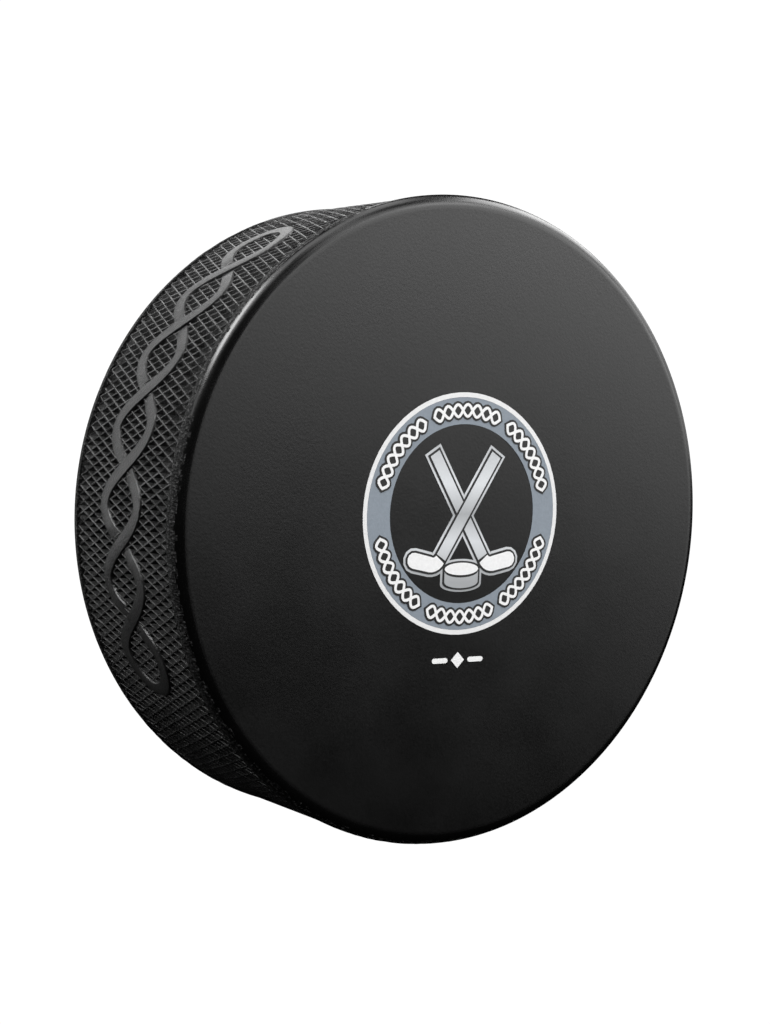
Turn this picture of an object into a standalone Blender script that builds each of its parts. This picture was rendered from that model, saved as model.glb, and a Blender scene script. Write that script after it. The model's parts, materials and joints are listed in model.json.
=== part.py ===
"""An ice hockey puck with a printed badge.

The puck lies flat with its printed face up. +Z is its axis, +Y is the top of the print, and the
origin is the centre of the bottom face. One moulded rubber body carries three layers of ink.
"""

import math

import bmesh
import bpy

MM = 0.001

# Rubber body: 3 in across and 1 in thick, with a slightly sunk band round the side.
PUCK_RADIUS = 38.1 * MM
PUCK_HEIGHT = 25.4 * MM
RIM_RADIUS = 1.4 * MM
LAND_WIDTH = 0.35 * MM
BAND_DEPTH = 0.15 * MM
BAND_SLOPE = 0.15 * MM
TURN_STEPS = 96
RIM_STEPS = 5

# Two crossing strands moulded in relief on the band, flush with the lands.
BRAID_MIDDLE = math.radians(165)
BRAID_SPAN = math.radians(92)
BRAID_HEIGHT = 9.6 * MM
BRAID_STROKE = 1.3 * MM
BRAID_EYES = 7
BRAID_STEPS = 7
BRAID_TRIM = 2.5 * MM

# Ink films. Each layer lies just clear of the one below.
INK_THICKNESS = 0.03 * MM
INK_GAP = 0.01 * MM
ON_RUBBER, ON_FIRST_INK, ON_SECOND_INK = range(3)

# Round badge, a little above the centre of the face.
BADGE_Y = 1.1 * MM
RING_OUTER = 14.2 * MM
RING_INNER = 13.65 * MM
FIELD_OUTER = 13.63 * MM
FIELD_INNER = 10.5 * MM
RING_STEPS = 72

# Six short printed braids on the badge's field, three above and three below.
TRIM_RADIUS = 12.1 * MM
TRIM_HEIGHT = 1.75 * MM
TRIM_STROKE = 0.34 * MM
TRIM_OUTLINE = 0.26 * MM
TRIM_SPAN = math.radians(46.5)
TRIM_PITCH = math.radians(53)
TRIM_EYES = 7
TRIM_STEPS = 4

# Crossed sticks and a small puck inside the badge, measured from the badge's centre.
STICK_TOP = (4.5 * MM, 7.0 * MM)
STICK_HEEL = (-3.2 * MM, -5.3 * MM)
STICK_WIDTH = 1.45 * MM
BLADE_WIDTH = 1.85 * MM
BLADE_LENGTH = 2.4 * MM
BLADE_RISE = math.radians(12)
HEEL_RADIUS = 1.3 * MM
HEEL_STEPS = 5
BLADE_TIP_STEPS = 6
KEYLINE = 0.28 * MM
EMBLEM_BACKING = 0.26 * MM
EMBLEM_OUTLINE = 0.55 * MM
SMALL_PUCK_RADIUS = 2.45 * MM
SMALL_PUCK_Y = -6.45 * MM
SMALL_PUCK_TILT = 0.3
SMALL_PUCK_HEIGHT = 1.25 * MM
SMALL_PUCK_STEPS = 12

# Row of three plain marks under the badge.
ROW_Y = -16.1 * MM
BAR_LENGTH = 2.3 * MM
BAR_WIDTH = 0.6 * MM
BAR_X = 2.6 * MM
BAR_END_STEPS = 4
LOZENGE_SIZE = 0.95 * MM


def clear_scene():
    """Remove what the scene starts with."""
    for thing in list(bpy.data.objects):
        bpy.data.objects.remove(thing, do_unlink=True)


def new_collection(name):
    """Make a collection in the scene."""
    made = bpy.data.collections.new(name)
    bpy.context.scene.collection.children.link(made)
    return made


def new_material(name, colour, roughness):
    """Make a plain material of one colour."""
    made = bpy.data.materials.new(name)
    made.use_nodes = True
    shader = made.node_tree.nodes["Principled BSDF"]
    shader.inputs["Base Color"].default_value = (*colour, 1.0)
    shader.inputs["Roughness"].default_value = roughness
    shader.inputs["Metallic"].default_value = 0.0
    return made


def add_object(name, data, group):
    """Put new data in the scene as an object."""
    made = bpy.data.objects.new(name, data)
    group.objects.link(made)
    return made


def smooth_round_faces(mesh):
    """Shade curved faces smooth and keep real edges sharp."""
    mesh.shade_smooth()
    mesh.set_sharp_from_angle(angle=math.radians(30))


def hide_cutter(cutter):
    """Keep a Boolean's second shape out of the model."""
    cutter.hide_render = True
    cutter.display_type = "WIRE"


def arc(centre, radius, start, end, steps):
    """Points along an arc, both ends included."""
    sweep = end - start
    angles = [start + sweep * step / steps for step in range(steps + 1)]
    return [(centre[0] + radius * math.cos(a), centre[1] + radius * math.sin(a)) for a in angles]


def mirrored(points):
    """The same outline on the other side of the Y axis, still anticlockwise."""
    return [(-x, y) for x, y in reversed(points)]


def turned(name, profile, closed, steps, group):
    """Turn a profile of (radius, height) points about the Z axis."""
    count = len(profile)
    edges = [(i, i + 1) for i in range(count - 1)]
    if closed:
        edges.append((count - 1, 0))
    mesh = bpy.data.meshes.new(name)
    mesh.from_pydata([(r, 0.0, z) for r, z in profile], edges, [])
    made = add_object(name, mesh, group)
    screw = made.modifiers.new("Turn", "SCREW")
    screw.axis = "Z"
    screw.steps = steps
    screw.render_steps = steps
    screw.use_merge_vertices = True
    screw.merge_threshold = 0.001 * MM
    screw.use_smooth_shade = True
    return made


def body_profile():
    """Outer side of the rubber body, from the top face's centre to the bottom face's."""
    centre_r = PUCK_RADIUS - RIM_RADIUS
    upper = arc((centre_r, PUCK_HEIGHT - RIM_RADIUS), RIM_RADIUS, math.radians(90), 0, RIM_STEPS)
    lower = arc((centre_r, RIM_RADIUS), RIM_RADIUS, 0, math.radians(-90), RIM_STEPS)
    land_end = RIM_RADIUS + LAND_WIDTH
    band_end = land_end + BAND_SLOPE
    band_radius = PUCK_RADIUS - BAND_DEPTH
    return [
        (0.0, PUCK_HEIGHT),
        *upper,
        (PUCK_RADIUS, PUCK_HEIGHT - land_end),
        (band_radius, PUCK_HEIGHT - band_end),
        (band_radius, band_end),
        (PUCK_RADIUS, land_end),
        *lower,
        (0.0, 0.0),
    ]


def side_strand(name, sign, group):
    """One wavy strand of the side's braid, as a mesh tube half sunk in the band."""
    path_radius = PUCK_RADIUS - BAND_DEPTH
    swing = (BRAID_HEIGHT - BRAID_STROKE) / 2
    count = BRAID_EYES * BRAID_STEPS
    data = bpy.data.curves.new(name, "CURVE")
    data.dimensions = "3D"
    data.bevel_depth = BRAID_STROKE / 2
    data.bevel_resolution = 2
    data.use_fill_caps = True
    spline = data.splines.new("POLY")
    spline.points.add(count)
    for step, point in enumerate(spline.points):
        along = step / count
        angle = BRAID_MIDDLE + (along - 0.5) * BRAID_SPAN
        rise = sign * swing * math.sin(math.pi * BRAID_EYES * along)
        x = path_radius * math.cos(angle)
        y = path_radius * math.sin(angle)
        point.co = (x, y, PUCK_HEIGHT / 2 + rise, 1.0)
    return as_mesh(add_object(name, data, group), group)


def as_mesh(source, group):
    """Swap a curve object for a mesh object with welded caps."""
    bpy.context.view_layer.update()
    evaluated = source.evaluated_get(bpy.context.evaluated_depsgraph_get())
    mesh = bpy.data.meshes.new_from_object(evaluated)
    shape = bmesh.new()
    shape.from_mesh(mesh)
    bmesh.ops.remove_doubles(shape, verts=shape.verts, dist=0.0001 * MM)
    shape.to_mesh(mesh)
    shape.free()
    name, place = source.name, source.matrix_world.copy()
    bpy.data.objects.remove(source, do_unlink=True)
    made = add_object(name, mesh, group)
    made.matrix_world = place
    return made


def boolean(target, other, operation):
    """Add a Boolean modifier."""
    cut = target.modifiers.new(other.name, "BOOLEAN")
    cut.operation = operation
    cut.solver = "EXACT"
    cut.object = other
    hide_cutter(other)


def make_body(rubber, parts, cutters):
    """The moulded rubber body with its raised braid."""
    body = turned("puck_body", body_profile(), False, TURN_STEPS, parts)
    body.data.materials.append(rubber)
    braid = side_strand("braid_strand_a", 1, cutters)
    boolean(braid, side_strand("braid_strand_b", -1, cutters), "UNION")
    low = PUCK_HEIGHT / 2 - BRAID_HEIGHT / 2 - BRAID_TRIM
    high = PUCK_HEIGHT - low
    trim_profile = [(0.0, high), (PUCK_RADIUS, high), (PUCK_RADIUS, low), (0.0, low)]
    boolean(braid, turned("braid_trim", trim_profile, False, TURN_STEPS, cutters), "INTERSECT")
    boolean(body, braid, "UNION")


def layer_bottom(layer):
    """Height of an ink layer's underside."""
    return PUCK_HEIGHT + INK_GAP + layer * (INK_THICKNESS + INK_GAP)


def ink_ring(name, outer, inner, ink, group):
    """A flat printed ring round the badge's centre."""
    low = layer_bottom(ON_RUBBER)
    high = low + INK_THICKNESS
    profile = [(outer, high), (outer, low), (inner, low), (inner, high)]
    made = turned(name, profile, True, RING_STEPS, group)
    made.location.y = BADGE_Y
    made.data.materials.append(ink)
    return made


def ink_shape(name, outlines, layer, middle_y, ink, group):
    """A flat printed shape: the first outline is its edge, and the others are its holes."""
    data = bpy.data.curves.new(name, "CURVE")
    data.dimensions = "2D"
    data.fill_mode = "BOTH"
    data.extrude = INK_THICKNESS / 2
    for outline in outlines:
        spline = data.splines.new("POLY")
        spline.points.add(len(outline) - 1)
        for point, (x, y) in zip(spline.points, outline):
            point.co = (x, y, 0.0, 1.0)
        spline.use_cyclic_u = True
    made = add_object(name, data, group)
    made.location = (0.0, middle_y, layer_bottom(layer) + INK_THICKNESS / 2)
    data.materials.append(ink)
    return made


def braid_outlines(eyes, length, height, stroke, steps):
    """Flat outline of two crossing waves, and the outlines of the eyes between them.

    length is one eye's length and height is the whole braid's height without its stroke. The
    braid runs along X from 0, centred on Y = 0.
    """
    swing = height / 2
    half = stroke / 2
    steepest = math.pi * swing / length
    notch = half * math.hypot(1.0, steepest)
    tip = notch / steepest

    def offset_wave(side):
        points = []
        for step in range(1, 2 * steps):
            along = step / (2 * steps)
            slope = steepest * math.cos(math.pi * along)
            lean = math.hypot(1.0, slope)
            x = length * along - side * half * slope / lean
            y = swing * math.sin(math.pi * along) + side * half / lean
            points.append((x, y))
        return points

    outer = [(x, y) for x, y in offset_wave(1) if 0 < x < length]
    inner = [(x, y) for x, y in offset_wave(-1) if y > 0 and tip < x < length - tip]
    upper = [(-tip, 0.0)]
    eyes_outlines = []
    for eye in range(eyes):
        start = eye * length
        if eye:
            upper.append((start, notch))
        upper += [(start + x, y) for x, y in outer]
        lower_edge = [(start + x, -y) for x, y in inner]
        upper_edge = [(start + x, y) for x, y in reversed(inner)]
        eyes_outlines.append(
            [(start + tip, 0.0), *lower_edge, (start + length - tip, 0.0), *upper_edge]
        )
    end = (eyes * length + tip, 0.0)
    lower = [(x, -y) for x, y in upper[1:]]
    edge = [(-tip, 0.0), *lower, end, *reversed(upper[1:])]
    return [edge, *eyes_outlines]


def bent(points, middle, length):
    """Bend a straight outline round the badge, so that its own length is centred on an angle."""
    result = []
    for x, y in points:
        angle = middle - (x - length / 2) / TRIM_RADIUS
        radius = TRIM_RADIUS + y
        result.append((radius * math.cos(angle), radius * math.sin(angle)))
    return result


def make_trim(name, middle, backing_ink, ink, group):
    """One printed braid on its dark backing."""
    length = TRIM_SPAN * TRIM_RADIUS
    eye = length / TRIM_EYES
    height = TRIM_HEIGHT - TRIM_STROKE
    wide = TRIM_STROKE + 2 * TRIM_OUTLINE
    backing = braid_outlines(TRIM_EYES, eye, height, wide, TRIM_STEPS)[:1]
    braid = braid_outlines(TRIM_EYES, eye, height, TRIM_STROKE, TRIM_STEPS)
    for suffix, outlines, layer, colour in (
        ("backing", backing, ON_FIRST_INK, backing_ink),
        ("braid", braid, ON_SECOND_INK, ink),
    ):
        bends = [bent(outline, middle, length) for outline in outlines]
        ink_shape(f"{name}_{suffix}", bends, layer, BADGE_Y, colour, group)


def stick_direction():
    """Unit vector up the shaft that runs to the upper right."""
    run = STICK_TOP[0] - STICK_HEEL[0]
    rise = STICK_TOP[1] - STICK_HEEL[1]
    length = math.hypot(run, rise)
    return run / length, rise / length


def along_shaft(distance, side):
    """A point up the shaft from its heel, and off to its left by side."""
    run, rise = stick_direction()
    x = STICK_HEEL[0] + run * distance - rise * side
    y = STICK_HEEL[1] + rise * distance + run * side
    return x, y


def blade_centreline():
    """Middle of the blade, from the foot of the shaft round the heel and out to the tip."""
    run, rise = stick_direction()
    start = along_shaft(0.0, 0.0)
    centre = (start[0] - rise * HEEL_RADIUS, start[1] + run * HEEL_RADIUS)
    begin = math.atan2(start[1] - centre[1], start[0] - centre[0])
    finish = math.radians(-90) - BLADE_RISE
    heel = arc(centre, HEEL_RADIUS, begin, finish, HEEL_STEPS)
    x, y = heel[-1]
    tip = (x - BLADE_LENGTH * math.cos(BLADE_RISE), y + BLADE_LENGTH * math.sin(BLADE_RISE))
    return [*heel, tip]


def blade_outline(grow, cut_back):
    """Outline of the blade; grow widens it, and cut_back pulls its heel end along the shaft."""
    path = blade_centreline()
    first = along_shaft(cut_back, 0.0)
    path = [first, *path] if cut_back > 0 else path
    total = len(path) - 1
    left, right = [], []
    for index, (x, y) in enumerate(path):
        before = path[max(index - 1, 0)]
        after = path[min(index + 1, total)]
        run, rise = after[0] - before[0], after[1] - before[1]
        length = math.hypot(run, rise)
        blend = index / total
        half = (STICK_WIDTH * (1 - blend) + BLADE_WIDTH * blend) / 2 + grow
        left.append((x - rise / length * half, y + run / length * half))
        right.append((x + rise / length * half, y - run / length * half))
    tip = path[-1]
    half = BLADE_WIDTH / 2 + grow
    facing = math.pi - BLADE_RISE
    start, end = facing + math.radians(90), facing - math.radians(90)
    rounded = arc(tip, half, start, end, BLADE_TIP_STEPS)
    return list(reversed([*left[:-1], *rounded, *reversed(right[:-1])]))


def shaft_length():
    """Length of the shaft from the heel to its top end."""
    run = STICK_TOP[0] - STICK_HEEL[0]
    rise = STICK_TOP[1] - STICK_HEEL[1]
    return math.hypot(run, rise)


def shaft_outline(low, high, grow):
    """Outline of a straight stretch of shaft."""
    half = STICK_WIDTH / 2 + grow
    return [
        along_shaft(low, -half),
        along_shaft(high, -half),
        along_shaft(high, half),
        along_shaft(low, half),
    ]


def shaft_cut_by_other(side, part):
    """Distance up the shaft where it meets the other shaft's keyline.

    side is the shaft's edge, and part is +1 above the crossing and -1 below it.
    """
    run, rise = stick_direction()
    crossing = -STICK_HEEL[0] / run
    reach = STICK_WIDTH / 2 + KEYLINE
    sine = 2 * run * rise
    cosine = rise * rise - run * run
    return crossing + (part * reach + side * cosine) / sine


def under_shaft_outlines():
    """The shaft that passes behind, as its upper and its lower stretch."""
    half = STICK_WIDTH / 2
    top = shaft_length()
    upper = [
        along_shaft(shaft_cut_by_other(-half, 1), -half),
        along_shaft(top, -half),
        along_shaft(top, half),
        along_shaft(shaft_cut_by_other(half, 1), half),
    ]
    lower = [
        along_shaft(KEYLINE, -half),
        along_shaft(shaft_cut_by_other(-half, -1), -half),
        along_shaft(shaft_cut_by_other(half, -1), half),
        along_shaft(KEYLINE, half),
    ]
    return mirrored(upper), mirrored(lower)


def squashed_circle(radius, middle_y, start, end, steps):
    """An arc of a circle seen tilted."""
    points = arc((0.0, 0.0), radius, start, end, steps)
    return [(x, middle_y + y * SMALL_PUCK_TILT) for x, y in points]


def small_puck_outlines():
    """The small puck's round face and the visible part of its side."""
    around = 2 * math.pi
    face = squashed_circle(
        SMALL_PUCK_RADIUS, SMALL_PUCK_Y, 0.0, around, 2 * SMALL_PUCK_STEPS
    )[:-1]
    edge_y = SMALL_PUCK_Y - KEYLINE
    low_y = edge_y - SMALL_PUCK_HEIGHT
    lower = squashed_circle(SMALL_PUCK_RADIUS, low_y, -math.pi, 0.0, SMALL_PUCK_STEPS)
    upper = squashed_circle(SMALL_PUCK_RADIUS, edge_y, 0.0, -math.pi, SMALL_PUCK_STEPS)
    return face, [*lower, *upper]


def small_puck_backing(grow):
    """Outline round both parts of the small puck."""
    radius = SMALL_PUCK_RADIUS + grow
    low_y = SMALL_PUCK_Y - KEYLINE - SMALL_PUCK_HEIGHT - grow / 2
    high_y = SMALL_PUCK_Y + grow / 2
    lower = squashed_circle(radius, low_y, -math.pi, 0.0, SMALL_PUCK_STEPS)
    upper = squashed_circle(radius, high_y, 0.0, math.pi, SMALL_PUCK_STEPS)
    return [*lower, *upper]


def make_emblem_shape(name, grow, layer, ink, parts, cutters):
    """One printed shape under the whole emblem, wider than the emblem all round."""
    shaft = shaft_outline(0.0, shaft_length() + grow, grow)
    blade = blade_outline(grow, grow)
    outlines = {
        "blade_a": blade,
        "shaft_b": mirrored(shaft),
        "blade_b": mirrored(blade),
        "small_puck": small_puck_backing(grow),
    }
    base = as_mesh(ink_shape(name, [shaft], layer, BADGE_Y, ink, parts), parts)
    for part_name, outline in outlines.items():
        shape = ink_shape(f"{name}_{part_name}", [outline], layer, BADGE_Y, ink, cutters)
        boolean(base, as_mesh(shape, cutters), "UNION")


def make_emblem(inks, parts, cutters):
    """Crossed sticks over a small puck, on a dark backing inside a silver outline."""
    silver, black = inks["silver"], inks["black"]
    make_emblem_shape("emblem_outline", EMBLEM_OUTLINE, ON_RUBBER, silver, parts, cutters)
    make_emblem_shape("emblem_backing", EMBLEM_BACKING, ON_FIRST_INK, black, parts, cutters)
    under_upper, under_lower = under_shaft_outlines()
    face, side = small_puck_outlines()
    blade = blade_outline(0.0, 0.0)
    shapes = (
        ("front_stick_shaft", shaft_outline(KEYLINE, shaft_length(), 0.0), "silver"),
        ("front_stick_blade", blade, "white"),
        ("rear_stick_upper_shaft", under_upper, "silver"),
        ("rear_stick_lower_shaft", under_lower, "silver"),
        ("rear_stick_blade", mirrored(blade), "white"),
        ("small_puck_face", face, "white"),
        ("small_puck_side", side, "silver"),
    )
    for name, outline, ink in shapes:
        ink_shape(name, [outline], ON_SECOND_INK, BADGE_Y, inks[ink], parts)


def bar_outline(middle_x):
    """A short bar with round ends."""
    reach = (BAR_LENGTH - BAR_WIDTH) / 2
    quarter = math.radians(90)
    right = arc((middle_x + reach, 0.0), BAR_WIDTH / 2, -quarter, quarter, BAR_END_STEPS)
    left = arc((middle_x - reach, 0.0), BAR_WIDTH / 2, quarter, 3 * quarter, BAR_END_STEPS)
    return [*right, *left]


def make_row(ink, group):
    """The row of plain marks under the badge."""
    lozenge = arc((0.0, 0.0), LOZENGE_SIZE, 0.0, 2 * math.pi, 4)[:-1]
    ink_shape("row_bar_left", [bar_outline(-BAR_X)], ON_RUBBER, ROW_Y, ink, group)
    ink_shape("row_lozenge", [lozenge], ON_RUBBER, ROW_Y, ink, group)
    ink_shape("row_bar_right", [bar_outline(BAR_X)], ON_RUBBER, ROW_Y, ink, group)


def main():
    clear_scene()
    parts = new_collection("hockey_puck")
    cutters = new_collection("cutters")
    rubber = new_material("black_rubber", (0.012, 0.012, 0.0125), 0.5)
    inks = {
        "white": new_material("white_ink", (0.70, 0.70, 0.70), 0.4),
        "slate": new_material("slate_ink", (0.25, 0.29, 0.34), 0.4),
        "black": new_material("black_ink", (0.012, 0.012, 0.012), 0.4),
        "silver": new_material("silver_ink", (0.50, 0.53, 0.56), 0.35),
    }
    make_body(rubber, parts, cutters)
    ink_ring("badge_ring", RING_OUTER, RING_INNER, inks["white"], parts)
    ink_ring("badge_field", FIELD_OUTER, FIELD_INNER, inks["slate"], parts)
    for half, middle in (("upper", math.radians(90)), ("lower", math.radians(270))):
        for place, turn in (("left", 1), ("middle", 0), ("right", -1)):
            turn = turn if half == "upper" else -turn
            angle = middle + turn * TRIM_PITCH
            make_trim(f"trim_{half}_{place}", angle, inks["black"], inks["white"], parts)
    make_emblem(inks, parts, cutters)
    make_row(inks["white"], parts)
    smooth_round_faces(bpy.data.objects["puck_body"].data)


main()
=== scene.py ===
"""Looks of the hockey puck: a finely moulded rubber body, its raised braid, inks, light and camera.

Everything is in metres in the row frame: +Z is the puck's axis, +Y the top of the print, and the
puck lies on z = 0.
"""

import json
import math
import random

import bpy
from mathutils import Matrix, Vector


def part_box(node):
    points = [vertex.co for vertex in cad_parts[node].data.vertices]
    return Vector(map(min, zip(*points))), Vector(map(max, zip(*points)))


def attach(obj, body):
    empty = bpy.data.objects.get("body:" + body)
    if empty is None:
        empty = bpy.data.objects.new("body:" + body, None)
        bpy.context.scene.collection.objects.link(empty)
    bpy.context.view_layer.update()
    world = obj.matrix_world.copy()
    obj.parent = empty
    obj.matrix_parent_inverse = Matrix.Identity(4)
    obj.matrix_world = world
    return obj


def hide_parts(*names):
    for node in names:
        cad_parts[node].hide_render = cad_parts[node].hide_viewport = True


MM = 0.001

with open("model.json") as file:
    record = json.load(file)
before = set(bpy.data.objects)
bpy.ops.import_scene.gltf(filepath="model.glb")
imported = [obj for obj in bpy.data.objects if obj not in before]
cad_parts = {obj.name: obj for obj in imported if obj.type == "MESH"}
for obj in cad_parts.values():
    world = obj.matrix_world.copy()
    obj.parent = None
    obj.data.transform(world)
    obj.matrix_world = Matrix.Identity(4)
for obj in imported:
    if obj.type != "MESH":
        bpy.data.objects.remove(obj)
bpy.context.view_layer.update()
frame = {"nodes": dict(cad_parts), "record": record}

# The body's driving sizes come from the CAD body, and the moulded detail is laid out from them.
body_low, body_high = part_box("puck_body")
RADIUS = (body_high.x - body_low.x) / 2
HEIGHT = body_high.z - body_low.z

# The rim turns from the side to the face, and stops a little short of the face's slope.
RIM_RADIUS = 1.4 * MM
RIM_STEPS = 14
RIM_END = math.radians(79)

# Flash left by the mould roughens the outer part of the rim. It is widest past the braid's middle,
# narrower before it, and trimmed off on the print's right.
FLASH_STEPS = 8
SHORT_FLASH_STEPS = 4
SHORT_FLASH = (math.radians(112), math.radians(162))
TRIMMED_FROM = math.radians(330)
FLASH_RAGGED = 1.4
FLASH_WOBBLE = 0.07 * MM

# A narrow plain land lies between the rim and the groove that ends the knurl.
LAND_WIDTH = 0.3 * MM
LAND_SLOPE = 0.02 * MM
GROOVE_DEPTH = 0.6 * MM
GROOVE_WIDTH = 0.1 * MM

# Rings of points on a flat face, counted inwards from the rim.
FACE_RINGS = (0.35 * MM, 4 * MM, 12 * MM, 22 * MM)

# Diamond knurl on the side: sunk pits between thin crossing ridges.
KNURL_COUNT = 204
KNURL_ROWS = 8
RIDGE_DEPTH = 0.15 * MM
# A ridge's half in section: the share of a pit's size inwards from the crest, and the depth there.
CREST_RINGS = ((0.0, 0.0), (0.04, 0.006 * MM), (0.07, 0.026 * MM), (0.10, 0.06 * MM))
PIT_DEPTH = 0.38 * MM
KNURL_WOBBLE = 0.02 * MM
# The rows next to the knurl's two ends are worn: shallower and more uneven.
WORN_ROWS = 1
WORN_PIT_DEPTH = 0.28 * MM
WORN_WOBBLE = 0.06 * MM

# Raised braid on the side, one closed strand that crosses itself.
BRAID_MIDDLE = math.radians(165)
BRAID_SPAN = math.radians(92)
BRAID_HEIGHT = 9.6 * MM
BRAID_STROKE = 1.7 * MM
BRAID_EYES = 7
BRAID_STEPS = 28
BRAID_END_STEPS = 12
BRAID_DIP = 0.3 * MM
BRAID_DIVE = 2.0 * MM
# Its side in section, in mm from the stroke's edge and below its top, from the root up.
BRAID_SHOULDER = ((0.12, -0.85), (0.08, -0.45), (0.02, -0.12), (-0.06, -0.02), (-0.16, 0.0))

# Seed of the moulding's unevenness, and the turns in degrees above which an edge is left sharp.
SEED = 11
BODY_CREASE = 12
BRAID_CREASE = 30

# Sizes of the materials' mottling, and half the height that the silver's bands take up.
CLOUD_SIZE = 9 * MM
FLASH_LUMP = 0.30 * MM
INK_MOTTLE = 0.35 * MM
INK_GRAIN = 0.004 * MM
SILVER_REACH = 8 * MM

# The white stage, in metres, bright enough to reach pure white.
FLOOR_SIDES = 96
FLOOR_REACH = 3.0
DOME_RADIUS = 2.9
STAGE_GLOW = 1.05

# The camera looks down on the printed face from the print's left.
CAMERA_PLACE = Vector((-126.40, 12.34, 190.41)) * MM
CAMERA_PITCH = math.radians(-3.82)
CAMERA_YAW = math.radians(-34.87)
CAMERA_LENS = 62.50
CAMERA_SENSOR = 36.0

# How far the lamps stand from the puck's middle, in metres, and which way is up for those that
# shine along its axis.
SIDE_REACH = 0.55
FACE_REACH = 0.60
FILL_REACH = 0.80
PRINT_UP = (0, 1, 0)


# ---------------------------------------------------------------- helpers

def new_object(name, data):
    """Put new data in the scene as an object."""
    made = bpy.data.objects.new(name, data)
    bpy.context.scene.collection.objects.link(made)
    return made


class Shell:
    """The vertices and faces of one closed mesh, with a material index for each face."""

    def __init__(self):
        self.points = []
        self.faces = []
        self.surfaces = []

    def point(self, x, y, z):
        self.points.append((x, y, z))
        return len(self.points) - 1

    def polar(self, angle, radius, z):
        return self.point(radius * math.cos(angle), radius * math.sin(angle), z)

    def face(self, corners, surface):
        self.faces.append(corners)
        self.surfaces.append(surface)

    def strip(self, lower, upper, surfaces):
        """Quads between two closed rings of as many points; seen from outside, upper is above."""
        count = len(lower)
        for i in range(count):
            j = (i + 1) % count
            self.face((lower[i], lower[j], upper[j], upper[i]), surfaces[i])

    def fan(self, pivot, path, surface):
        """Triangles from one point to each step of an anticlockwise path."""
        for a, b in zip(path, path[1:]):
            self.face((pivot, a, b), surface)

    def build(self, name, materials, crease):
        """Make the object, shaded smooth except where it turns by more than crease degrees."""
        mesh = bpy.data.meshes.new(name)
        mesh.from_pydata(self.points, [], self.faces)
        for material in materials:
            mesh.materials.append(material)
        mesh.polygons.foreach_set("material_index", self.surfaces)
        mesh.shade_smooth()
        mesh.set_sharp_from_angle(angle=math.radians(crease))
        mesh.validate()
        return new_object(name, mesh)


# ---------------------------------------------------------------- materials

def new_material(name):
    """A material with its node tree, its Principled shader and its object coordinates."""
    made = bpy.data.materials.new(name)
    made.use_nodes = True
    nodes = made.node_tree.nodes
    shader = nodes["Principled BSDF"]
    place = nodes.new("ShaderNodeTexCoord").outputs["Object"]
    return made, shader, place


def noise(tree, place, size, detail=2.0):
    """Noise with features of about the given size, as a 0 to 1 output."""
    node = tree.nodes.new("ShaderNodeTexNoise")
    node.inputs["Scale"].default_value = 1.0 / size
    node.inputs["Detail"].default_value = detail
    tree.links.new(place, node.inputs["Vector"])
    return node.outputs["Fac"]


def spread(tree, value, low, high, to_low=0.0, to_high=1.0):
    """Map a value from one range to another, clamped."""
    node = tree.nodes.new("ShaderNodeMapRange")
    node.inputs["From Min"].default_value = low
    node.inputs["From Max"].default_value = high
    node.inputs["To Min"].default_value = to_low
    node.inputs["To Max"].default_value = to_high
    tree.links.new(value, node.inputs["Value"])
    return node.outputs["Result"]


def blend_colours(tree, share, first, second):
    """Mix two colours by a 0 to 1 value."""
    node = tree.nodes.new("ShaderNodeMix")
    node.data_type = "RGBA"
    node.inputs["A"].default_value = (*first, 1.0)
    node.inputs["B"].default_value = (*second, 1.0)
    tree.links.new(share, node.inputs["Factor"])
    return node.outputs["Result"]


def bump(tree, shader, height, strength, distance):
    """Bump the shader's surface by a height value."""
    node = tree.nodes.new("ShaderNodeBump")
    node.inputs["Strength"].default_value = strength
    node.inputs["Distance"].default_value = distance
    tree.links.new(height, node.inputs["Height"])
    tree.links.new(node.outputs["Normal"], shader.inputs["Normal"])


def add(tree, first, second, scale=1.0):
    """first + second * scale."""
    node = tree.nodes.new("ShaderNodeMath")
    node.operation = "MULTIPLY_ADD"
    node.inputs[1].default_value = scale
    tree.links.new(second, node.inputs[0])
    tree.links.new(first, node.inputs[2])
    return node.outputs[0]


def rubber_material(name, tones, roughs, grain, grain_depth, shine=0.5):
    """Vulcanised rubber: a dark colour with faint clouds, uneven gloss and fine grain."""
    made, shader, place = new_material(name)
    tree = made.node_tree
    clouds = noise(tree, place, CLOUD_SIZE, 4.0)
    fine = noise(tree, place, grain, 3.0)
    share = spread(tree, add(tree, clouds, fine, 0.6), 0.6, 1.0)
    dark, light = ((tone,) * 3 for tone in tones)
    tree.links.new(blend_colours(tree, share, dark, light), shader.inputs["Base Color"])
    tree.links.new(spread(tree, share, 0.0, 1.0, *roughs), shader.inputs["Roughness"])
    shader.inputs["Specular IOR Level"].default_value = shine
    bump(tree, shader, fine, 0.5, grain_depth)
    return made


def flash_material(name):
    """Rubber flash: dull and dark, with pale specks and a rough surface."""
    made, shader, place = new_material(name)
    tree = made.node_tree
    lumps = noise(tree, place, FLASH_LUMP, 3.0)
    specks = spread(tree, lumps, 0.54, 0.66)
    colour = blend_colours(tree, specks, (0.001,) * 3, (0.045,) * 3)
    tree.links.new(colour, shader.inputs["Base Color"])
    tree.links.new(spread(tree, specks, 0.0, 1.0, 0.6, 0.3), shader.inputs["Roughness"])
    shader.inputs["Specular IOR Level"].default_value = 0.25
    bump(tree, shader, lumps, 1.0, 0.25 * MM)
    return made


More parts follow.
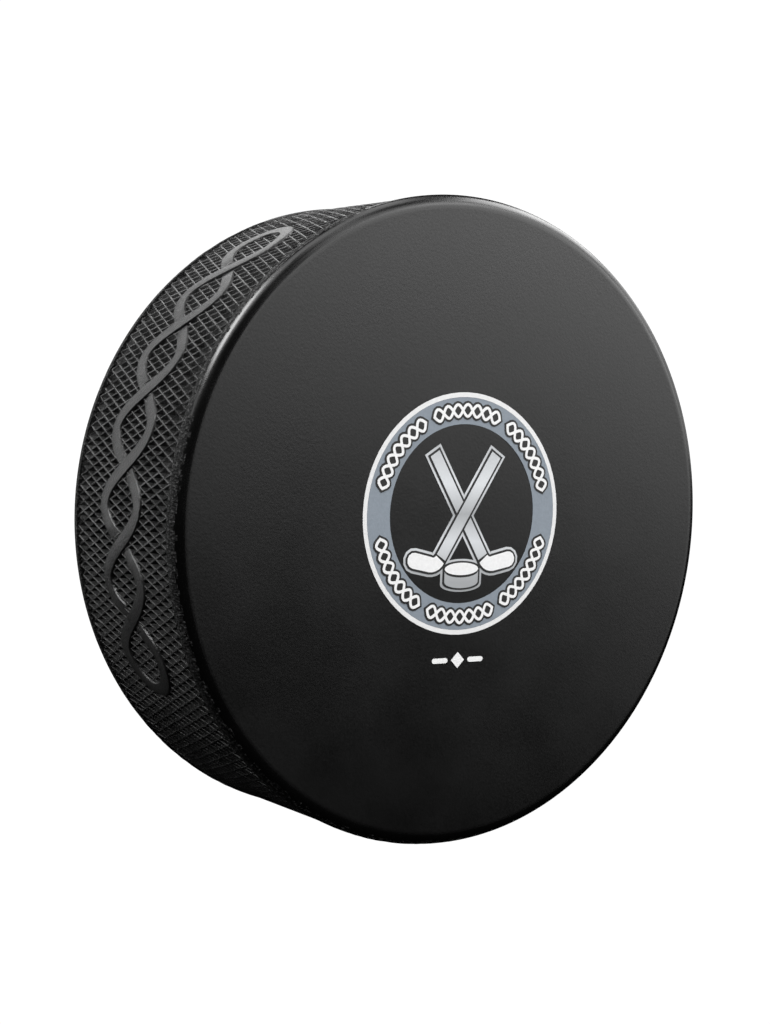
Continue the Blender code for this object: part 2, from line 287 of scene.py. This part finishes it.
def ink_material(name, dark, light, roughness):
    """Screen-printing ink: nearly even, with a fine mottle and a faint grain."""
    made, shader, place = new_material(name)
    tree = made.node_tree
    mottle = noise(tree, place, INK_MOTTLE, 3.0)
    share = spread(tree, mottle, 0.3, 0.7)
    tree.links.new(blend_colours(tree, share, dark, light), shader.inputs["Base Color"])
    rough = spread(tree, mottle, 0.3, 0.7, roughness - 0.05, roughness + 0.05)
    tree.links.new(rough, shader.inputs["Roughness"])
    bump(tree, shader, mottle, 0.3, INK_GRAIN)
    return made


def silver_material(name, middle_y):
    """Printed silver shading: bands of light and dark up the emblem, about its middle height."""
    made, shader, place = new_material(name)
    tree = made.node_tree
    parts = tree.nodes.new("ShaderNodeSeparateXYZ")
    tree.links.new(place, parts.inputs[0])
    reach = (middle_y - SILVER_REACH, middle_y + SILVER_REACH)
    height = spread(tree, parts.outputs["Y"], *reach)
    ramp = tree.nodes.new("ShaderNodeValToRGB")
    tree.links.new(height, ramp.inputs[0])
    stops = ((0.0, 0.34), (0.3, 0.62), (0.5, 0.36), (0.72, 0.66), (1.0, 0.46))
    band = ramp.color_ramp
    while len(band.elements) < len(stops):
        band.elements.new(0.5)
    for element, (position, tone) in zip(band.elements, stops):
        element.position = position
        element.color = (tone * 0.96, tone * 0.99, tone * 1.02, 1.0)
    tree.links.new(ramp.outputs["Color"], shader.inputs["Base Color"])
    mottle = noise(tree, place, INK_MOTTLE, 3.0)
    rough = spread(tree, mottle, 0.3, 0.7, 0.36, 0.46)
    tree.links.new(rough, shader.inputs["Roughness"])
    bump(tree, shader, mottle, 0.3, INK_GRAIN)
    return made


# ---------------------------------------------------------------- moulded body

# The body's materials, by their index. FLASH is the mould flash on the rims. CREST and PIT take a
# lighter and a darker copy of the one rubber: painted highlight on the ridges and painted shade in
# the pits.
FACE, RIM, FLASH, CREST, PIT = range(5)


def knurl_lattice(shell, low, high, draw):
    """The knurled band. Returns the zig-zag chains of points along its lower and upper ends.

    Places on the lattice are counted in half diamonds: column i round the side, row j up it.
    Ridges cross where i + j is odd, and a pit lies where i + j is even.
    """
    columns = 2 * KNURL_COUNT
    rows = 2 * KNURL_ROWS
    ridge_radius = RADIUS - RIDGE_DEPTH

    def is_worn(j):
        return min(j, rows - j) <= WORN_ROWS

    def at(i, j, depth):
        angle = math.pi * i / KNURL_COUNT
        z = low + (high - low) * j / rows
        wobble = WORN_WOBBLE if is_worn(j) else KNURL_WOBBLE
        return shell.polar(angle, ridge_radius - depth + draw.uniform(-wobble, wobble), z)

    crossings = {}

    def crossing(i, j):
        key = (i % columns, j)
        if key not in crossings:
            crossings[key] = at(*key, 0.0)
        return crossings[key]

    ends = {0: [], rows: []}
    for j in range(rows + 1):
        for i in range(j % 2, columns, 2):
            rings = []
            corners = [(1, 0), (0, 1), (-1, 0), (0, -1)]
            if j == 0:
                corners = corners[:3]
            elif j == rows:
                corners = [(-1, 0), (0, -1), (1, 0)]
            for inset, depth in CREST_RINGS:
                reach = 1 - 2 * inset
                if inset:
                    ring = [at(i + reach * a, j + reach * b, depth) for a, b in corners]
                else:
                    ring = [crossing(i + a, j + b) for a, b in corners]
                rings.append(ring)
            middle = at(i, j, WORN_PIT_DEPTH if is_worn(j) else PIT_DEPTH)
            sides = list(range(len(corners)))
            pairs = list(zip(sides, sides[1:]))
            if len(corners) == 4:
                pairs.append((3, 0))
            for outer, inner in zip(rings, rings[1:]):
                for a, b in pairs:
                    shell.face((outer[a], outer[b], inner[b], inner[a]), CREST)
            for a, b in pairs:
                shell.face((rings[-1][a], rings[-1][b], middle), PIT)
            if j in ends:
                left, right = (2, 0) if j == 0 else (0, 2)
                leftward = [ring[left] for ring in rings]
                rightward = [ring[right] for ring in rings]
                ends[j].append((leftward, middle, rightward))
    return ends[0], ends[rows]


def close_knurl(shell, chains, groove, is_top):
    """Join the zig-zag end of the knurl to the ring of points in the groove beside it."""
    count = len(groove)
    for index, (leftward, middle, rightward) in enumerate(chains):
        left, centre, right = (groove[(2 * index + step) % count] for step in (-1, 0, 1))
        path = [left, *leftward, middle, *reversed(rightward), right]
        shell.fan(centre, path if is_top else path[::-1], PIT)


def make_body(materials):
    """The rubber disc as it comes out of the mould."""
    shell = Shell()
    draw = random.Random(SEED)
    columns = 2 * KNURL_COUNT
    angles = [math.pi * i / KNURL_COUNT for i in range(columns)]

    def ring(radius, z):
        return [shell.polar(angle, radius, z) for angle in angles]

    margin = RIM_RADIUS + LAND_WIDTH + GROOVE_WIDTH
    low, high = margin + GROOVE_WIDTH, HEIGHT - margin - GROOVE_WIDTH
    lower_end, upper_end = knurl_lattice(shell, low, high, draw)

    def flash_steps(angle):
        """How many of the rim's steps the flash covers at an angle round the puck."""
        if angle < SHORT_FLASH[0] or angle > TRIMMED_FROM:
            return 0
        return SHORT_FLASH_STEPS if angle < SHORT_FLASH[1] else FLASH_STEPS

    def flash_or_rim(step):
        """Materials round the rim, with a ragged end to the flash."""
        found = []
        for angle in angles:
            limit = flash_steps(angle)
            ragged = draw.uniform(-FLASH_RAGGED, FLASH_RAGGED)
            found.append(FLASH if limit and step < limit + ragged else RIM)
        return found

    def end_cap(z_of, chains, is_top):
        """Everything past one end of the knurl: groove, land, rim and flat face."""
        groove = ring(RADIUS - GROOVE_DEPTH, z_of(margin))
        close_knurl(shell, chains, groove, is_top)
        rings = [groove, ring(RADIUS - LAND_SLOPE, z_of(RIM_RADIUS + LAND_WIDTH))]
        surfaces = [[FLASH if flash_steps(angle) else RIM for angle in angles]]
        for step in range(RIM_STEPS + 1):
            turn = RIM_END * step / RIM_STEPS
            radius = RADIUS - RIM_RADIUS * (1 - math.cos(turn)) / (1 - math.cos(RIM_END))
            depth = RIM_RADIUS * (1 - math.sin(turn) / math.sin(RIM_END))
            edge = []
            for angle in angles:
                is_rough = flash_steps(angle) and step < SHORT_FLASH_STEPS
                wobble = draw.uniform(0, FLASH_WOBBLE) if is_rough else 0.0
                edge.append(shell.polar(angle, radius - wobble, z_of(depth)))
            rings.append(edge)
            surfaces.append(flash_or_rim(step))
        for inward in FACE_RINGS:
            rings.append(ring(RADIUS - RIM_RADIUS - inward, z_of(0.0)))
            surfaces.append([FACE] * columns)
        for near, far, surface in zip(rings, rings[1:], surfaces):
            lower, upper = (near, far) if is_top else (far, near)
            shell.strip(lower, upper, surface)
        middle = shell.point(0.0, 0.0, z_of(0.0))
        path = [*rings[-1], rings[-1][0]]
        shell.fan(middle, path if is_top else path[::-1], FACE)

    end_cap(lambda depth: HEIGHT - depth, upper_end, True)
    end_cap(lambda depth: depth, lower_end, False)
    return shell.build("puck_body_moulded", materials, BODY_CREASE)


# ---------------------------------------------------------------- raised braid

def braid_path():
    """The strand's way out and back: (eyes along, rise from -1 to 1, whether on the way out)."""
    turns = [math.radians(90) * step / BRAID_END_STEPS for step in range(BRAID_END_STEPS)]
    start = [((1 - math.cos(turn)) / 2, math.sin(turn)) for turn in turns]
    steps = (BRAID_EYES - 1) * BRAID_STEPS
    waves = [0.5 + step / BRAID_STEPS for step in range(steps + 1)]
    middle = [(eye, math.sin(math.pi * eye)) for eye in waves]
    last = middle[-1][1]
    finish = [(BRAID_EYES - eye, last * rise) for eye, rise in reversed(start)]
    way_out = [*start, *middle, *finish]
    way_back = [(eye, -rise, False) for eye, rise in reversed(way_out[1:-1])]
    return [(eye, rise, True) for eye, rise in way_out] + way_back


def braid_dip(eye, outward):
    """How far the strand dives where it passes under the other one."""
    nearest = round(eye)
    crosses = 0 < nearest < BRAID_EYES
    under = crosses and (nearest % 2 == 0) == outward
    away = abs(eye - nearest) * BRAID_SPAN * RADIUS / BRAID_EYES
    if not under or away > BRAID_DIVE:
        return 0.0
    return BRAID_DIP * (0.5 + 0.5 * math.cos(math.pi * away / BRAID_DIVE))


def make_braid(material):
    """One closed strand in relief, which passes over and under itself."""
    shell = Shell()
    half = BRAID_STROKE / 2
    right = [(half + out * MM, height * MM) for out, height in BRAID_SHOULDER]
    section = [(-side, height) for side, height in right] + right[::-1]
    swing = (BRAID_HEIGHT - BRAID_STROKE) / 2
    path = []
    for eye, rise, outward in braid_path():
        angle = BRAID_MIDDLE + (eye / BRAID_EYES - 0.5) * BRAID_SPAN
        path.append((angle * RADIUS, HEIGHT / 2 + swing * rise, braid_dip(eye, outward)))
    total = len(path)
    rings = []
    for step, (x, z, dip) in enumerate(path):
        before, after = path[step - 1], path[(step + 1) % total]
        run, rise = after[0] - before[0], after[1] - before[1]
        length = math.hypot(run, rise)
        ring = []
        for side, height in section:
            across = x - rise / length * side
            up = z + run / length * side
            ring.append(shell.polar(across / RADIUS, RADIUS + height - dip, up))
        rings.append(ring)
    for ring, following in zip(rings, rings[1:] + rings[:1]):
        for i in range(len(section)):
            j = (i + 1) % len(section)
            shell.face((ring[i], following[i], following[j], ring[j]), 0)
    return shell.build("side_braid", [material], BRAID_CREASE)


# ---------------------------------------------------------------- light, floor and camera

def softbox(name, direction, distance, width, height, radiance, up=(0, 0, 1)):
    """A rectangular lamp in a direction from the puck, facing its middle, with a given brightness."""
    data = bpy.data.lights.new(name, "AREA")
    data.shape = "RECTANGLE"
    data.size = width
    data.size_y = height
    data.energy = radiance * math.pi * width * height
    lamp = new_object(name, data)
    target = Vector((0, 0, HEIGHT / 2))
    back = Vector(direction).normalized()
    side = Vector(up).cross(back).normalized()
    upward = back.cross(side)
    turn = Matrix((side, upward, back)).transposed().to_4x4()
    lamp.matrix_world = Matrix.Translation(target + back * distance) @ turn
    return lamp


def white_stage(name, mesh):
    """A white surface that only the camera sees."""
    made = new_object(name, mesh)
    material = bpy.data.materials.new(name)
    material.use_nodes = True
    tree = material.node_tree
    tree.nodes.clear()
    glow = tree.nodes.new("ShaderNodeEmission")
    glow.inputs["Color"].default_value = (1.0, 1.0, 1.0, 1.0)
    glow.inputs["Strength"].default_value = STAGE_GLOW
    output = tree.nodes.new("ShaderNodeOutputMaterial")
    tree.links.new(glow.outputs[0], output.inputs["Surface"])
    mesh.materials.append(material)
    made.visible_diffuse = False
    made.visible_glossy = False
    made.visible_transmission = False
    made.visible_volume_scatter = False
    made.visible_shadow = False


def make_stage():
    """A white floor, open where the puck covers it, and a white dome round both."""
    turns = [math.tau * step / FLOOR_SIDES for step in range(FLOOR_SIDES)]
    points = []
    for reach in (RADIUS, FLOOR_REACH):
        points += [(reach * math.cos(turn), reach * math.sin(turn), 0.0) for turn in turns]
    faces = []
    for i in range(FLOOR_SIDES):
        j = (i + 1) % FLOOR_SIDES
        faces.append((i, j, j + FLOOR_SIDES, i + FLOOR_SIDES))
    floor = bpy.data.meshes.new("floor")
    floor.from_pydata(points, [], faces)
    white_stage("floor", floor)
    bpy.ops.mesh.primitive_uv_sphere_add(segments=32, ring_count=16, radius=DOME_RADIUS)
    ball = bpy.context.object
    dome = ball.data
    bpy.data.objects.remove(ball)
    white_stage("dome", dome)


def make_camera():
    """The camera, turned to the puck and tilted a little down the print."""
    data = bpy.data.cameras.new("camera")
    data.sensor_width = CAMERA_SENSOR
    data.lens = CAMERA_LENS
    data.clip_start = 0.01
    data.clip_end = 20.0
    camera = new_object("camera", data)
    tilt = Matrix.Rotation(CAMERA_PITCH, 4, "X")
    turn = Matrix.Rotation(CAMERA_YAW, 4, "Y")
    place = Matrix.Translation(CAMERA_PLACE)
    camera.matrix_world = place @ tilt @ turn
    bpy.context.scene.camera = camera


def make_lights():
    """Soft boxes round the puck, each named for what mirrors it towards the camera."""
    softbox("face_high", (0.60, 0.42, 0.68), FACE_REACH, 0.50, 0.34, 3.0, up=PRINT_UP)
    softbox("face_low", (0.62, 0.08, 0.78), FACE_REACH, 0.50, 0.12, 1.2, up=PRINT_UP)
    softbox("face_right", (0.82, 0.05, 0.57), FACE_REACH, 0.22, 0.30, 0.9, up=PRINT_UP)
    softbox("rim_corner", (0.50, 0.64, 0.58), SIDE_REACH, 0.14, 0.14, 3.4)
    softbox("rim_upper", (0.22, 0.72, 0.66), SIDE_REACH, 0.16, 0.20, 2.2)
    softbox("rim_upper_left", (0.04, 0.88, 0.48), SIDE_REACH, 0.14, 0.16, 2.0)
    softbox("rim_over", (0.22, 0.95, -0.08), SIDE_REACH, 0.16, 0.36, 2.4)
    softbox("rim_top", (0.65, 0.74, 0.10), SIDE_REACH, 0.15, 0.32, 7.5)
    softbox("rim_right", (0.79, 0.58, -0.10), SIDE_REACH, 0.13, 0.42, 4.5)
    softbox("wall_right", (0.90, 0.40, -0.10), SIDE_REACH, 0.14, 0.46, 1.6)
    softbox("wall_far_right", (0.98, 0.17, -0.05), SIDE_REACH, 0.14, 0.30, 0.9)
    softbox("rim_gap", (0.90, 0.22, 0.36), SIDE_REACH, 0.20, 0.16, 2.0)
    softbox("wall_top", (-0.12, 0.97, 0.20), SIDE_REACH, 0.22, 0.24, 2.6)
    softbox("wall_left", (-0.60, 0.78, 0.16), SIDE_REACH, 0.24, 0.22, 18.0)
    softbox("wall_high", (-0.42, 0.78, 0.46), SIDE_REACH, 0.22, 0.14, 2.2)
    softbox("wall_far_left", (-0.92, 0.34, 0.12), SIDE_REACH, 0.20, 0.22, 1.8)
    softbox("under_top", (0.25, 0.55, -0.80), FACE_REACH, 0.24, 0.24, 2.0, up=PRINT_UP)
    softbox("under_upper", (-0.10, 0.65, -0.75), FACE_REACH, 0.24, 0.24, 1.6, up=PRINT_UP)
    softbox("under_left", (-0.35, 0.45, -0.82), FACE_REACH, 0.24, 0.24, 2.2, up=PRINT_UP)
    softbox("under_middle", (-0.58, 0.05, -0.82), FACE_REACH, 0.24, 0.26, 2.1, up=PRINT_UP)
    softbox("under_lower", (-0.42, -0.45, -0.78), FACE_REACH, 0.24, 0.24, 0.2, up=PRINT_UP)
    softbox("back_left", (-0.80, 0.30, -0.50), FACE_REACH, 0.24, 0.24, 2.0, up=PRINT_UP)
    # Brightens the inks without a mirror image in the rubber.
    fill = softbox("print_fill", (-0.1, 0.1, 1.0), FILL_REACH, 0.60, 0.60, 2.8, up=PRINT_UP)
    fill.visible_glossy = False


# ---------------------------------------------------------------- put together

def main():
    scene = bpy.context.scene
    world = bpy.data.worlds.new("dark_room")
    world.use_nodes = True
    world.node_tree.nodes["Background"].inputs["Color"].default_value = (0.0, 0.0, 0.0, 1.0)
    scene.world = world
    scene.view_settings.view_transform = "Standard"

    face = rubber_material("rubber_face", (0.0004, 0.0010), (0.28, 0.33), 0.30 * MM, 0.020 * MM)
    rim = rubber_material("rubber_rim", (0.0010, 0.0016), (0.22, 0.28), 0.20 * MM, 0.003 * MM)
    flash = flash_material("rubber_flash")
    # The crest copy of the rubber is lighter than the face: painted highlight on the knurl's ridges.
    crest_lit = rubber_material("rubber_crest_painted_highlight", (0.003, 0.012), (0.18, 0.30), 0.24 * MM, 0.12 * MM, 0.6)
    # The pit copy of the rubber is much darker than the crest: painted shade in the knurl's pits.
    pit_shaded = rubber_material("rubber_pit_painted_shade", (0.0004, 0.0012), (0.40, 0.52), 0.24 * MM, 0.10 * MM, 0.15)
    # The relief copy of the rubber is lighter than the face: painted highlight on the raised braid.
    relief_lit = rubber_material("rubber_relief_painted_highlight", (0.004, 0.016), (0.30, 0.44), 0.24 * MM, 0.14 * MM)
    body = make_body([face, rim, flash, crest_lit, pit_shaded])
    braid = make_braid(relief_lit)
    for piece in (body, braid):
        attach(piece, "root")
        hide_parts("puck_body")

    badge_low, badge_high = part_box("badge_ring")
    badge_y = (badge_low.y + badge_high.y) / 2
    inks = {
        "white_ink": ink_material("white_ink", (0.74,) * 3, (0.80,) * 3, 0.5),
        "slate_ink": ink_material("slate_ink", (0.193, 0.224, 0.260), (0.215, 0.248, 0.286), 0.5),
        "black_ink": ink_material("black_ink", (0.004,) * 3, (0.007,) * 3, 0.45),
        "silver_ink": silver_material("silver_ink", badge_y),
    }
    ring_ink = ink_material("ring_ink", (0.68,) * 3, (0.73,) * 3, 0.5)
    slots = {part["node"]: part["material_slot"] for part in frame["record"]["subparts"]}
    for name, node in frame["nodes"].items():
        if slots[name] in inks:
            ink = ring_ink if name == "badge_ring" else inks[slots[name]]
            node.data.materials.clear()
            node.data.materials.append(ink)

    make_stage()
    make_camera()
    make_lights()


main()
